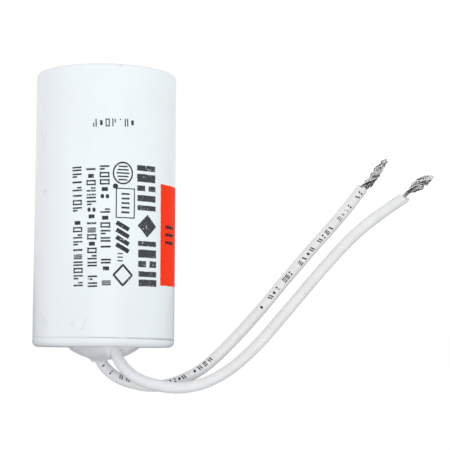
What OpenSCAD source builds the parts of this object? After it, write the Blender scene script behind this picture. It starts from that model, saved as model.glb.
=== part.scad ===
// Motor run capacitor with two wire leads.
// A white moulded cup, closed by a flanged lid, holds a wound film element in potting resin.
// Both leads come out through the resin in the lid, arch over and hang down beside the cup.
// It stands on its closed end. The origin is the centre of that end, and +Z runs to the lid.

/* [Cup] */
// Outer diameter of the cup and of the lid's flange
case_d = 35; // [31:0.5:45]
// Height of the cup from its closed end to its mouth
cup_h = 65.8; // [64:0.2:90]
// Wall of the cup at its mouth
wall_t = 1.6; // [1.2:0.1:1.9]
// Draft of the cup's bore: how much smaller its radius is at the floor than at the mouth
bore_draft = 0.3; // [0.1:0.1:0.5]
// Thickness of the cup's floor inside its foot ring
floor_t = 1.8; // [1.4:0.1:3]
// Radius of the outer edge of the closed end
foot_edge_r = 0.8; // [0.3:0.1:1.5]
// Width of the flat ring that the cup stands on
foot_w = 3; // [2:0.5:5]
// Depth of the shallow recess inside the foot ring
foot_recess = 0.4; // [0.2:0.1:0.8]
// Diameter of the moulding gate's mark in the middle of the recess
gate_d = 2.4; // [1.5:0.1:4]
// Radius of the fillet between the cup's floor and its bore
floor_fillet_r = 1; // [0.5:0.1:1.2]

/* [Lid] */
// Thickness of the lid's flange
lid_t = 2.2; // [1.6:0.1:3]
// Radius of the outer edge of the lid
lid_edge_r = 1.4; // [0.5:0.1:1.5]
// Chamfer on each side of the seam between the cup and the lid
seam_c = 0.15; // [0.05:0.05:0.3]
// How far the lid's spigot reaches into the cup
spigot_h = 4; // [2:0.5:5]
// Wall of the spigot
spigot_t = 1.5; // [1:0.1:2]
// Gap between the spigot and the cup's bore
spigot_gap = 0.1; // [0.05:0.05:0.2]
// Diameter of the hole that the resin and the leads come out through
pour_hole_d = 16.4; // [16:0.2:17]

/* [Resin] */
// Diameter of the resin mound on the lid
mound_d = 18; // [17.4:0.1:22]
// Height of the resin mound
mound_h = 3; // [1.5:0.1:5]
// How far the middle of the mound lies behind the cup's axis
mound_back = 1.7; // [0:0.1:2]
// How far the resin climbs up the rear lead
collar_h = 0.5; // [0.3:0.1:2]
// Depth of the resin between the cup's floor and the film element
under_gap = 2.8; // [2.6:0.1:4]

/* [Film element] */
// Thickness of the resin between the wrapped winding and the cup's bore at the floor
side_gap = 1.3; // [0.5:0.1:2]
// Width of the film, end face to end face
film_w = 48.6; // [40:0.2:50]
// Thickness of the sprayed metal on each end
spray_t = 0.7; // [0.4:0.1:1]
// Thickness of the film wrapped round the winding
wrap_t = 0.3; // [0.1:0.1:0.4]
// Outer diameter of the tube that the film is wound on
core_d = 6.4; // [6:0.1:8]
// Gap between the lead and the bore of that tube
core_gap = 0.2; // [0.1:0.1:0.3]

/* [Leads] */
// Outer diameter of the leads' insulation
lead_d = 2.8; // [2.4:0.1:2.9]
// Diameter of the leads' stranded conductor
wire_d = 1.2; // [0.8:0.1:1.3]
// Bend radius of the bare wire inside, to its middle
tail_bend_r = 1; // [0.8:0.1:1.2]
// Distance from the middle of the upper solder to the edge of the winding, along the wire
solder_edge = 3.9; // [3.5:0.1:5]
// Diameter of the solder on each sprayed end
solder_d = 4.4; // [3.5:0.1:4.6]
// Height of the solder on each sprayed end
solder_h = 1.7; // [1.5:0.1:2]
// Height of the end of the upper lead's insulation above the sprayed end
strip_h = 2.6; // [2.2:0.1:3]
// Solder that lies between the bare wire and the sprayed end
solder_bed = 0.1; // [0.05:0.05:0.2]

/* [Bare ends] */
// Length of the bare end of the lead that lies behind
bare_len_a = 10; // [6:0.5:12]
// Length of the bare end of the lead that lies in front
bare_len_b = 9.5; // [6:0.5:12]
// Turns that the strands make along a bare end
twist_turns = 0.9; // [0.5:0.1:1.5]
// How far the strands of the rear lead stand out from its axis at their widest
fray_a = 0.3; // [0:0.1:0.6]
// How far the strands of the front lead stand out from its axis at their widest
fray_b = 0.9; // [0:0.1:1.2]

/* [Hidden] */
$fn = 96;

// Cup
case_r = case_d / 2;
mouth_r = case_r - wall_t;
floor_z = foot_recess + floor_t;
floor_r = mouth_r - bore_draft;
recess_r = case_r - foot_w;
draft_angle = atan(bore_draft / (cup_h - floor_z));
// Where the floor's fillet touches the floor and the drafted bore
fillet_reach = floor_fillet_r / tan((90 + draft_angle) / 2);
fillet_top = [floor_r + fillet_reach * sin(draft_angle), floor_z + fillet_reach * cos(draft_angle)];

// Lid
lid_face_z = cup_h + lid_t;
spigot_z = cup_h - spigot_h;
bore_at_spigot_r = mouth_r - spigot_h * tan(draft_angle);
spigot_r = bore_at_spigot_r - spigot_gap;
spigot_bore_r = spigot_r - spigot_t;
spigot_lead_in = 0.3;
pour_hole_r = pour_hole_d / 2;

// Resin: the mound is a cap of a ball
mound_r = mound_d / 2;
mound_ball_r = cap_ball_r(mound_r, mound_h);
collar_w = 0.8;

// Film element, from its lower sprayed end up
wrap_r = floor_r - side_gap;
winding_r = wrap_r - wrap_t;
core_r = core_d / 2;
element_z = floor_z + under_gap;
film_z = element_z + spray_t;
film_top_z = film_z + film_w;
element_top_z = film_top_z + spray_t;

// Leads
lead_r = lead_d / 2;
lead_sides = 12;
wire_r = wire_d / 2;
core_bore_r = lead_r + core_gap;
solder_r = solder_d / 2;
// From the middle of the solder to the tip of the bare wire in it
solder_inset = 1.5;

// The leads' free routes, from inside the pour hole to the end of the insulation.
// Heights are measured from the lid's outer face.
FREE_A = [[2, 4.6, -2], [1.8, 4.6, 1], [0.7, 4.5, 3.8], [-1.3, 4.2, 6.1], [-4, 3.8, 7.8],
    [-7.4, 3.3, 8.9], [-11, 2.8, 9.5], [-15, 2.3, 9.3], [-19.5, 1.9, 7.9], [-24.2, 1.7, 5.3],
    [-28.7, 1.6, 1.5], [-32.7, 1.5, -2.6], [-36.7, 1.4, -7], [-40.6, 1.3, -11.5],
    [-44.4, 1.2, -16.2], [-48.3, 1.1, -20.8], [-52.2, 1, -25.4], [-56.3, 1, -30],
    [-60.3, 1, -34.8], [-64.4, 1, -40.1]];
FREE_B = [[-2.9, -5.5, -2], [-3.4, -5.7, 1], [-4.8, -5.9, 3.9], [-6.9, -5.7, 6.2], [-9.6, -5.3, 7.9],
    [-13, -4.5, 9], [-16.6, -3.7, 9.7], [-20.3, -2.9, 9.7], [-24.3, -2.3, 8.9],
    [-28.2, -1.8, 7.2], [-32.1, -1.4, 4.7], [-36, -1.1, 1.3], [-39.9, -0.9, -2.7],
    [-43.8, -0.8, -7.3], [-47.8, -0.7, -12], [-51.8, -0.6, -16.8], [-55.9, -0.5, -21.5],
    [-60.1, -0.4, -26.1], [-64.7, -0.3, -30.4], [-69.8, -0.1, -34.3], [-74.7, 0, -37.7]];

// Lead A ends over the upper sprayed end. Lead B crosses over in an S-bend to the core
// tube and runs down through it to the lower sprayed end.
BEND_STEPS = 5;
core_clearance = 1;
a_strip_z = element_top_z + strip_h;
b_strip_z = element_z + tail_bend_r;
core_exit = [0, 0, element_top_z + core_clearance];
root_a = FREE_A[0] + [0, 0, lid_face_z];
root_b = FREE_B[0] + [0, 0, lid_face_z];
route_a = concat([[root_a.x, root_a.y, a_strip_z]], over_lid(FREE_A));
route_b = concat([[0, 0, b_strip_z], [0, 0, element_top_z]],
    s_bend(core_exit, root_b, BEND_STEPS), over_lid(FREE_B));

// Bare wires inside: each drops out of its insulation, turns and lies on a sprayed end
tail_a_z = element_top_z + solder_bed + wire_r;
tail_b_z = element_z - solder_bed - wire_r;
solder_a_y = winding_r - solder_edge;
// Both tails are as long as the upper one has to be
tail_len = solder_a_y + solder_inset - root_a.y - tail_bend_r;
solder_b_y = -(tail_bend_r + tail_len - solder_inset);

// Bare ends outside: six bunches of strands laid round a seventh
BUNCHES = 6;
bunch_r = 0.3 * wire_r;
bunch_sides = 6;
lay_r = wire_r - bunch_r;
STRAND_STEPS = 10;
// Straight stretch with which each bunch leaves the insulation
straight_l = 0.3;

function cap_ball_r(r, h) = (pow(r, 2) + pow(h, 2)) / (2 * h);
function over_lid(points) = [for (p = points) p + [0, 0, lid_face_z]];
function ease(f) = (1 - cos(180 * f)) / 2;

// Points of an S-bend from one upright stretch to another, without its last point
function s_bend(from, to, steps) = [for (k = [0:steps - 1])
    let (f = k / steps, across = ease(f))
    [from.x + across * (to.x - from.x), from.y + across * (to.y - from.y), from.z + f * (to.z - from.z)]];

// Directions along and across a path. No lead or strand runs along Y, so the side
// direction is always defined.
function unit(v) = v / norm(v);
function last(p) = p[len(p) - 1];
function heading(p, i) = unit(p[min(i + 1, len(p) - 1)] - p[max(i - 1, 0)]);
function side_of(t) = unit(cross(t, [0, 1, 0]));
function spoke(t, a) = let (u = side_of(t)) cos(a) * u + sin(a) * cross(t, u);
function ring(c, t, r, sides) = [for (k = [0:sides - 1]) c + r * spoke(t, 360 * k / sides)];

// Round tube along a path
module sweep(path, r, sides) {
    top = (len(path) - 1) * sides;
    start_cap = [for (k = [0:sides - 1]) k];
    end_cap = [for (k = [sides - 1:-1:0]) top + k];
    walls = [for (i = [0:len(path) - 2], k = [0:sides - 1])
        let (a = i * sides + k, b = i * sides + (k + 1) % sides)
        each [[b, a, b + sides], [a, a + sides, b + sides]]];
    polyhedron(
        points = [for (i = [0:len(path) - 1]) each ring(path[i], heading(path, i), r, sides)],
        faces = concat([start_cap, end_cap], walls));
}

// The corner that is left outside a quarter round of radius r, to be cut off an edge
module outer_corner(r) {
    difference() {
        square(r + 1);
        circle(r);
        translate([r, -1]) square([2, 1 + r + 2]);
        translate([-1, r]) square([1 + r + 2, 2]);
    }
}

// Half section of the fillet between the cup's floor and its bore
module floor_fillet() {
    difference() {
        polygon([[floor_r, floor_z], [floor_r - fillet_reach, floor_z],
            [floor_r - fillet_reach, floor_z + floor_fillet_r], fillet_top]);
        translate([floor_r - fillet_reach, floor_z + floor_fillet_r]) circle(floor_fillet_r);
    }
}

// Cap of a ball that stands on z = 0
module ball_cap(r, h) {
    ball_r = cap_ball_r(r, h);
    rotate_extrude() intersection() {
        translate([0, h - ball_r]) circle(ball_r);
        square([r, h]);
    }
}

module tube(outer_r, inner_r, z, h) {
    translate([0, 0, z]) difference() {
        cylinder(r = outer_r, h = h);
        translate([0, 0, -1]) cylinder(r = inner_r, h = h + 2);
    }
}

// Moulded cup: drafted bore, filleted floor, foot ring and gate mark on the closed end
module case_cup() {
    color("white") {
        rotate_extrude() {
            difference() {
                polygon([[0, foot_recess], [recess_r - foot_recess, foot_recess], [recess_r, 0],
                    [case_r, 0], [case_r, cup_h - seam_c], [case_r - seam_c, cup_h],
                    [mouth_r, cup_h], [floor_r, floor_z], [0, floor_z]]);
                translate([case_r - foot_edge_r, foot_edge_r]) mirror([0, 1]) outer_corner(foot_edge_r);
            }
            floor_fillet();
        }
        translate([0, 0, foot_recess / 2]) cylinder(d = gate_d, h = foot_recess / 2 + floor_t / 2);
    }
}

// Lid: flange flush with the cup, spigot in its mouth, round hole for the resin
module lid() {
    color("whitesmoke") rotate_extrude() difference() {
        polygon([[pour_hole_r, cup_h], [pour_hole_r, lid_face_z], [case_r, lid_face_z],
            [case_r, cup_h + seam_c], [case_r - seam_c, cup_h], [spigot_r, cup_h],
            [spigot_r, spigot_z + spigot_lead_in], [spigot_r - spigot_lead_in, spigot_z],
            [spigot_bore_r, spigot_z], [spigot_bore_r, cup_h]]);
        translate([case_r - lid_edge_r, lid_face_z - lid_edge_r]) outer_corner(lid_edge_r);
    }
}

// Resin that climbs a little way up the rear lead where that lead leaves the mound. The
// front lead comes out through the mound's edge.
module resin_collar() {
    from_middle = norm([root_a.x, root_a.y - mound_back]);
    rise = sqrt(pow(mound_ball_r, 2) - pow(from_middle, 2)) - mound_ball_r + mound_h;
    translate([root_a.x, root_a.y, lid_face_z])
        cylinder(r1 = lead_r + collar_w, r2 = lead_r, h = rise + collar_h);
}

// One pour of resin: fills the cup round the film element, the hole and the mound
module potting_resin() {
    color("gainsboro") difference() {
        union() {
            rotate_extrude() difference() {
                polygon([[0, floor_z], [floor_r, floor_z], [bore_at_spigot_r, spigot_z],
                    [spigot_bore_r, spigot_z], [spigot_bore_r, cup_h], [pour_hole_r, cup_h],
                    [pour_hole_r, lid_face_z], [0, lid_face_z]]);
                floor_fillet();
            }
            translate([0, mound_back, lid_face_z]) ball_cap(mound_r, mound_h);
            resin_collar();
        }
        translate([0, 0, element_z]) cylinder(r = wrap_r, h = element_top_z - element_z);
        solder_blob_a();
        solder_blob_b();
        tail_a();
        tail_b();
        sweep(route_a, lead_r, lead_sides);
        sweep(route_b, lead_r, lead_sides);
    }
}

module film_winding() {
    color("lightgray") tube(winding_r, core_r, film_z, film_w);
}

module winding_wrap() {
    color("khaki") tube(wrap_r, winding_r, element_z, element_top_z - element_z);
}

module core_tube() {
    color("ivory") tube(core_r, core_bore_r, element_z, element_top_z - element_z);
}

module end_spray_top() {
    color("darkgray") tube(winding_r, core_r, film_top_z, spray_t);
}

module end_spray_bottom() {
    color("darkgray") tube(winding_r, core_r, element_z, spray_t);
}

// Bare wire that comes down, turns towards +Y and lies level. Its level stretch is at z = 0.
module bent_wire(upright) {
    translate([0, 0, tail_bend_r]) cylinder(r = wire_r, h = upright);
    translate([0, tail_bend_r, tail_bend_r]) rotate([90, 0, -90]) rotate([0, 0, -90])
        rotate_extrude(angle = 90) translate([tail_bend_r, 0]) circle(wire_r);
    translate([0, tail_bend_r, 0]) rotate([-90, 0, 0]) cylinder(r = wire_r, h = tail_len);
}

module tail_a() {
    translate([root_a.x, root_a.y, tail_a_z]) bent_wire(a_strip_z - tail_a_z - tail_bend_r);
}

module tail_b() {
    translate([0, 0, tail_b_z]) rotate([0, 0, 180]) bent_wire(b_strip_z - tail_b_z - tail_bend_r);
}

module solder_blob_a() {
    translate([root_a.x, solder_a_y, element_top_z]) ball_cap(solder_r, solder_h);
}

module solder_blob_b() {
    translate([0, solder_b_y, element_z]) mirror([0, 0, 1]) ball_cap(solder_r, solder_h);
}

module solder_joint_top() {
    color("silver") difference() {
        solder_blob_a();
        tail_a();
    }
}

module solder_joint_bottom() {
    color("silver") difference() {
        solder_blob_b();
        tail_b();
    }
}

module lead_a() {
    color("white") sweep(route_a, lead_r, lead_sides);
}

module lead_b() {
    color("white") sweep(route_b, lead_r, lead_sides);
}

module inner_tail_a() {
    color("silver") tail_a();
}

module inner_tail_b() {
    color("silver") tail_b();
}

// Twisted bare end. Each bunch leaves the insulation straight, then winds round the axis,
// and stands further out where it frays. The last bunch runs along the axis.
module bare_strands(route, length, fray) {
    start = last(route);
    along = heading(route, len(route) - 1);
    for (k = [0:BUNCHES]) {
        reach = 1 - 0.05 * (k % 3);
        foot = start + (k < BUNCHES ? lay_r : 0) * spoke(along, 360 * k / BUNCHES);
        path = [for (i = [0:STRAND_STEPS])
            let (f = reach * i / STRAND_STEPS, out = lay_r + fray * pow(sin(165 * f), 2),
                turn = 360 * (k / BUNCHES + twist_turns * f))
            start + (straight_l + (length - straight_l) * f) * along
                + (k < BUNCHES ? out : 0) * spoke(along, turn)];
        sweep(concat([foot], path), bunch_r, bunch_sides);
    }
}

module bare_strands_a() {
    color("silver") bare_strands(route_a, bare_len_a, fray_a);
}

module bare_strands_b() {
    color("silver") bare_strands(route_b, bare_len_b, fray_b);
}

case_cup();
lid();
potting_resin();
film_winding();
winding_wrap();
core_tube();
end_spray_top();
end_spray_bottom();
solder_joint_top();
solder_joint_bottom();
lead_a();
lead_b();
inner_tail_a();
inner_tail_b();
bare_strands_a();
bare_strands_b();
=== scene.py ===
import logging
import math
from dataclasses import dataclass, replace
from enum import Enum

import bpy
import numpy as np
from mathutils import Matrix, Vector


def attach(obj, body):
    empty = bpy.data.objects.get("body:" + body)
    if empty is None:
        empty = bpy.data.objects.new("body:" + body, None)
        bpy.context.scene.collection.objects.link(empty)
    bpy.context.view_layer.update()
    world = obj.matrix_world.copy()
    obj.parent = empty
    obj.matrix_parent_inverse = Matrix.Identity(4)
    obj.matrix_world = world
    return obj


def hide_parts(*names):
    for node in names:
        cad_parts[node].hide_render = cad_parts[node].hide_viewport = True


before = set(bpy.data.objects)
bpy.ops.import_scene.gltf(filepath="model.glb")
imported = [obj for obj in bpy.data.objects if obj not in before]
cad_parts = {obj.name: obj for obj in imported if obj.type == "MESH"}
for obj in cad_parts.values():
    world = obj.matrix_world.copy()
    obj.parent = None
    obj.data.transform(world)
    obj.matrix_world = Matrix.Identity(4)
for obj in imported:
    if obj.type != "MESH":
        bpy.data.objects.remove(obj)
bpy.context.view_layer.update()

log = logging.getLogger("capacitor")

MM = 0.001
Point = tuple[float, float, float]
Colour = tuple[float, float, float]

CAN_RADIUS = 0.0175
LID_FACE = 0.068
SEAM = 0.0658
WIRE_RADIUS = 0.0014
# The turn from one strand to the next that spreads them evenly over the bundle.
GOLDEN_ANGLE = 2.39996

# Centre lines of the two free leads, from 2 mm below the lid's outer face to the end of the
# insulation, in metres.
ROUTE_A: tuple[Point, ...] = (
    (0.0020, 0.0046, 0.0660), (0.0018, 0.0046, 0.0690), (0.0007, 0.0045, 0.0718),
    (-0.0013, 0.0042, 0.0741), (-0.0040, 0.0038, 0.0758), (-0.0074, 0.0033, 0.0769),
    (-0.0110, 0.0028, 0.0775), (-0.0150, 0.0023, 0.0773), (-0.0195, 0.0019, 0.0759),
    (-0.0242, 0.0017, 0.0733), (-0.0287, 0.0016, 0.0695), (-0.0327, 0.0015, 0.0654),
    (-0.0367, 0.0014, 0.0610), (-0.0406, 0.0013, 0.0565), (-0.0444, 0.0012, 0.0518),
    (-0.0483, 0.0011, 0.0472), (-0.0522, 0.0010, 0.0426), (-0.0563, 0.0010, 0.0380),
    (-0.0603, 0.0010, 0.0332), (-0.0644, 0.0010, 0.0279),
)
ROUTE_B: tuple[Point, ...] = (
    (-0.0029, -0.0055, 0.0660), (-0.0034, -0.0057, 0.0690), (-0.0048, -0.0059, 0.0719),
    (-0.0069, -0.0057, 0.0742), (-0.0096, -0.0053, 0.0759), (-0.0130, -0.0045, 0.0770),
    (-0.0166, -0.0037, 0.0777), (-0.0203, -0.0029, 0.0777), (-0.0243, -0.0023, 0.0769),
    (-0.0282, -0.0018, 0.0752), (-0.0321, -0.0014, 0.0727), (-0.0360, -0.0011, 0.0693),
    (-0.0399, -0.0009, 0.0653), (-0.0438, -0.0008, 0.0607), (-0.0478, -0.0007, 0.0560),
    (-0.0518, -0.0006, 0.0512), (-0.0559, -0.0005, 0.0465), (-0.0601, -0.0004, 0.0419),
    (-0.0647, -0.0003, 0.0376), (-0.0698, -0.0001, 0.0337), (-0.0747, 0.0000, 0.0303),
)
# The stretches of the leads that are buried in the resin.
BURIED_A: tuple[Point, ...] = ((0.0020, 0.0046, 0.0576), (0.0020, 0.0046, 0.0660))
BURIED_B: tuple[Point, ...] = (
    (0.0, 0.0, 0.0060), (0.0, 0.0, 0.0560), (-0.0003, -0.0005, 0.0580),
    (-0.0010, -0.0019, 0.0600), (-0.0019, -0.0036, 0.0620), (-0.0026, -0.0050, 0.0640),
    (-0.0029, -0.0055, 0.0660),
)


# ---------------------------------------------------------------------------------------
# Node trees
# ---------------------------------------------------------------------------------------


def pick(sockets: bpy.types.bpy_prop_collection, key: int | str) -> bpy.types.NodeSocket:
    """Finds one socket of a node.

    Args:
        sockets: the node's inputs or outputs.
        key: its place, or its identifier or name among those that are switched on.

    Returns:
        The socket.
    """
    if isinstance(key, int):
        return sockets[key]
    live = [socket for socket in sockets if socket.enabled]
    return next(socket for socket in live if key in (socket.identifier, socket.name))


class Value:
    """One output of a node that Python's own signs can reckon with."""

    def __init__(self, tree: "NodeTree", socket: bpy.types.NodeSocket) -> None:
        """Keeps the tree and the socket."""
        self.tree = tree
        self.socket = socket

    def math(self, operation: str, *others: "Value | float") -> "Value":
        """Adds a Math node.

        Args:
            operation: the Math node's operation.
            others: the second and third terms, where the operation takes them.

        Returns:
            The node's result.
        """
        return self.tree.math(operation, self, *others)

    def other(self, key: int | str) -> "Value":
        """Another output of the same node."""
        return Value(self.tree, pick(self.socket.node.outputs, key))

    def __add__(self, other: "Value | float") -> "Value":
        """self + other."""
        return self.math("ADD", other)

    def __radd__(self, other: float) -> "Value":
        """other + self."""
        return self.tree.math("ADD", other, self)

    def __sub__(self, other: "Value | float") -> "Value":
        """self - other."""
        return self.math("SUBTRACT", other)

    def __rsub__(self, other: float) -> "Value":
        """other - self."""
        return self.tree.math("SUBTRACT", other, self)

    def __mul__(self, other: "Value | float") -> "Value":
        """self * other."""
        return self.math("MULTIPLY", other)

    def __rmul__(self, other: float) -> "Value":
        """other * self."""
        return self.tree.math("MULTIPLY", other, self)

    def __truediv__(self, other: "Value | float") -> "Value":
        """self / other."""
        return self.math("DIVIDE", other)

    def __rtruediv__(self, other: float) -> "Value":
        """other / self."""
        return self.tree.math("DIVIDE", other, self)

    def __pow__(self, other: "Value | float") -> "Value":
        """self ** other."""
        return self.math("POWER", other)

    def __neg__(self) -> "Value":
        """-self."""
        return self.math("MULTIPLY", -1.0)

    def ease(self, low: float, high: float) -> "Value":
        """Rises smoothly from 0 where self is low to 1 where it is high."""
        sockets = {"Value": self, "From Min": low, "From Max": high}
        settings = {"interpolation_type": "SMOOTHSTEP"}
        return self.tree.node("ShaderNodeMapRange", settings, sockets)


class NodeTree:
    """A node tree that is written node by node."""

    def __init__(self, tree: bpy.types.NodeTree) -> None:
        """Keeps the tree and empties it."""
        self.tree = tree
        self.tree.nodes.clear()

    def node(self, kind: str, settings: dict | None = None, sockets: dict | None = None,
             out: int | str = 0) -> Value:
        """Adds any node.

        Args:
            kind: the node's type.
            settings: its properties, which are set first.
            sockets: a value or a Value for each input that is set or linked.
            out: the output that is wanted.

        Returns:
            That output.
        """
        node = self.tree.nodes.new(kind)
        for name, setting in (settings or {}).items():
            setattr(node, name, setting)
        for key, value in (sockets or {}).items():
            self.feed(pick(node.inputs, key), value)
        outlet = pick(node.outputs, out) if len(node.outputs) else None
        return Value(self, outlet)

    def feed(self, socket: bpy.types.NodeSocket, value: object) -> None:
        """Links a Value to a socket, or sets the socket's own number, vector or colour."""
        if isinstance(value, Value):
            self.tree.links.new(value.socket, socket)
        elif socket.type == "RGBA" and len(value) == 3:
            socket.default_value = (*value, 1.0)
        else:
            socket.default_value = value

    def math(self, operation: str, *terms: Value | float) -> Value:
        """A Math node on one to three terms."""
        return self.node("ShaderNodeMath", {"operation": operation}, dict(enumerate(terms)))

    def vector(self, operation: str, *terms: object, out: int | str = 0) -> Value:
        """A Vector Math node on one to three vectors, with its number as out="Value"."""
        return self.node("ShaderNodeVectorMath", {"operation": operation},
                         dict(enumerate(terms)), out)

    def scaled(self, vector: Value, factor: Value | float) -> Value:
        """A vector times a number."""
        return self.node("ShaderNodeVectorMath", {"operation": "SCALE"},
                         {0: vector, "Scale": factor})

    def combine(self, x: Value | float, y: Value | float, z: Value | float) -> Value:
        """A vector from its three parts."""
        return self.node("ShaderNodeCombineXYZ", None, {0: x, 1: y, 2: z})

    def split(self, vector: Value) -> tuple[Value, Value, Value]:
        """The three parts of a vector."""
        first = self.node("ShaderNodeSeparateXYZ", None, {0: vector})
        return first, first.other(1), first.other(2)



class Paint(NodeTree):
    """A material around one Principled shader."""

    def __init__(self, name: str) -> None:
        """Makes the material with its shader and output."""
        self.material = bpy.data.materials.new(name)
        self.material.use_nodes = True
        super().__init__(self.material.node_tree)
        shader = self.node("ShaderNodeBsdfPrincipled")
        self.shader = shader.socket.node
        self.node("ShaderNodeOutputMaterial", None, {"Surface": shader})
        self.place = self.node("ShaderNodeTexCoord", None, None, "Object")

    def set(self, **sockets: object) -> None:
        """Sets or links the shader's sockets, by their names with _ for a space."""
        for name, value in sockets.items():
            self.feed(pick(self.shader.inputs, name.replace("_", " ")), value)

    def blend(self, factor: Value | float, first: object, second: object) -> Value:
        """Mixes two colours."""
        sockets = {"Factor": factor, "A": first, "B": second}
        settings = {"data_type": "RGBA"}
        return self.node("ShaderNodeMix", settings, sockets, "Result")

    def bump(self, height: Value, depth: float, strength: float = 1.0) -> None:
        """Raises the surface by a height from 0 to 1 times a depth in metres."""
        sockets = {"Height": height, "Distance": depth, "Strength": strength}
        self.set(Normal=self.node("ShaderNodeBump", None, sockets))

    def noise(self, size: float, detail: float, rough: float,
              place: Value | None = None) -> Value:
        """Cloudy noise over the object.

        Args:
            size: the width of its lumps, in metres.
            detail: how many finer layers it has.
            rough: how strong those are.
            place: where it is read, if not at each place on the object.

        Returns:
            The noise, about 0.5 in the middle.
        """
        sockets = {"Vector": place or self.place, "Scale": 1 / size, "Detail": detail,
                   "Roughness": rough}
        return self.node("ShaderNodeTexNoise", None, sockets, "Fac")


class Shape(NodeTree):
    """A Geometry Nodes tree with named inputs that makes one mesh."""

    SOCKETS = {int: "NodeSocketInt", float: "NodeSocketFloat", tuple: "NodeSocketVector",
               bpy.types.Object: "NodeSocketObject"}

    def __init__(self, name: str) -> None:
        """Makes an empty tree with a geometry input and output."""
        super().__init__(bpy.data.node_groups.new(name, "GeometryNodeTree"))
        for way in ("INPUT", "OUTPUT"):
            self.tree.interface.new_socket("Geometry", in_out=way,
                                           socket_type="NodeSocketGeometry")
        self.inlet = self.node("NodeGroupInput")
        self.names: dict[str, str] = {}
        self.values: dict[str, object] = {}

    def size(self, name: str, value: object) -> Value:
        """Adds a named input.

        Args:
            name: what it sets.
            value: a whole number, a number, a vector or an object.

        Returns:
            The input inside the tree.
        """
        kind = next(made for made in self.SOCKETS if isinstance(value, made))
        socket = self.tree.interface.new_socket(name, in_out="INPUT",
                                                socket_type=self.SOCKETS[kind])
        self.names[name] = socket.identifier
        self.values[name] = value
        return self.inlet.other(name)

    def sizes(self, **values: object) -> list[Value]:
        """Adds several named inputs, with spaces for _ and capitals in their names."""
        return [self.size(name.replace("_", " ").title(), value)
                for name, value in values.items()]

    def position(self) -> Value:
        """Where each point is."""
        return self.node("GeometryNodeInputPosition")

    def attribute(self, name: str, kind: str) -> Value:
        """A named attribute of each point."""
        return self.node("GeometryNodeInputNamedAttribute", {"data_type": kind},
                         {"Name": name}, "Attribute")

    def drift(self, place: Value, scale: float, detail: float) -> Value:
        """A smooth random vector about zero for each place."""
        noise = self.node("ShaderNodeTexNoise", None,
                          {"Vector": place, "Scale": scale, "Detail": detail}, "Color")
        return self.vector("SUBTRACT", noise, (0.5, 0.5, 0.5))

    def move(self, geometry: Value, position: Value) -> Value:
        """Puts each point in a new place."""
        return self.node("GeometryNodeSetPosition", None,
                         {"Geometry": geometry, "Position": position})

    def random(self, low: float, high: float, index: Value, seed: Value | int) -> Value:
        """A number from low to high, the same for each index and seed."""
        sockets = {"Min": low, "Max": high, "ID": index, "Seed": seed}
        return self.node("FunctionNodeRandomValue", {"data_type": "FLOAT"}, sockets, "Value")

    def close(self, geometry: Value, material: bpy.types.Material, mirrored: bool) -> None:
        """Ends the tree in Realize Instances and Set Material.

        Args:
            geometry: the finished shape.
            material: its material.
            mirrored: whether the shape was turned inside out, and is turned back here.
        """
        if mirrored:
            geometry = self.node("GeometryNodeFlipFaces", None, {"Mesh": geometry})
        real = self.node("GeometryNodeRealizeInstances", None, {"Geometry": geometry})
        dressed = self.node("GeometryNodeSetMaterial", None,
                            {"Geometry": real, "Material": material})
        self.node("NodeGroupOutput", None, {"Geometry": dressed})

    def build(self, name: str, seed_mesh: bpy.types.Mesh | None = None) -> bpy.types.Object:
        """Runs the tree once and keeps its result as a plain mesh.

        Args:
            name: the new piece's name.
            seed_mesh: the mesh that the tree starts from, if it needs one.

        Returns:
            The piece, at the origin.
        """
        carrier = bpy.data.objects.new(name + "_carrier",
                                       seed_mesh or bpy.data.meshes.new(name + "_seed"))
        bpy.context.scene.collection.objects.link(carrier)
        modifier = carrier.modifiers.new("shape", "NODES")
        modifier.node_group = self.tree
        for label, value in self.values.items():
            modifier[self.names[label]] = value
        bpy.context.view_layer.update()
        evaluated = carrier.evaluated_get(bpy.context.evaluated_depsgraph_get())
        mesh = bpy.data.meshes.new_from_object(evaluated)
        mesh.name = name
        carrier.modifiers.remove(modifier)
        bpy.data.objects.remove(carrier)
        piece = bpy.data.objects.new(name, mesh)
        bpy.context.scene.collection.objects.link(piece)
        return piece


# ---------------------------------------------------------------------------------------
# Finishes
# ---------------------------------------------------------------------------------------


@dataclass(frozen=True)
class Scuff:
    """One grey mark on the can, in mm: its place round the front, its height and its size."""

    across: float
    along: float
    width: float
    depth: float
    run: tuple[float, float] = (0.0, 0.0)

    def shown(self, across: Value, along: Value) -> Value:
        """How strong the mark is at each place.

        Args:
            across: the way round the can from the front, in mm.
            along: the height, in mm.

        Returns:
            Its depth along its run, or at its one spot, and less beside it.
        """
        beside, above = across - self.across, along - self.along
        aside, ahead = self.run
        if any(self.run):
            part = (beside * aside + above * ahead) / (aside * aside + ahead * ahead)
            part = part.math("MAXIMUM", 0.0).math("MINIMUM", 1.0)
            beside, above = beside - part * aside, above - part * ahead
        near = (beside ** 2.0 + above ** 2.0) / (-self.width * self.width)
        return near.math("EXPONENT") * self.depth


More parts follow.
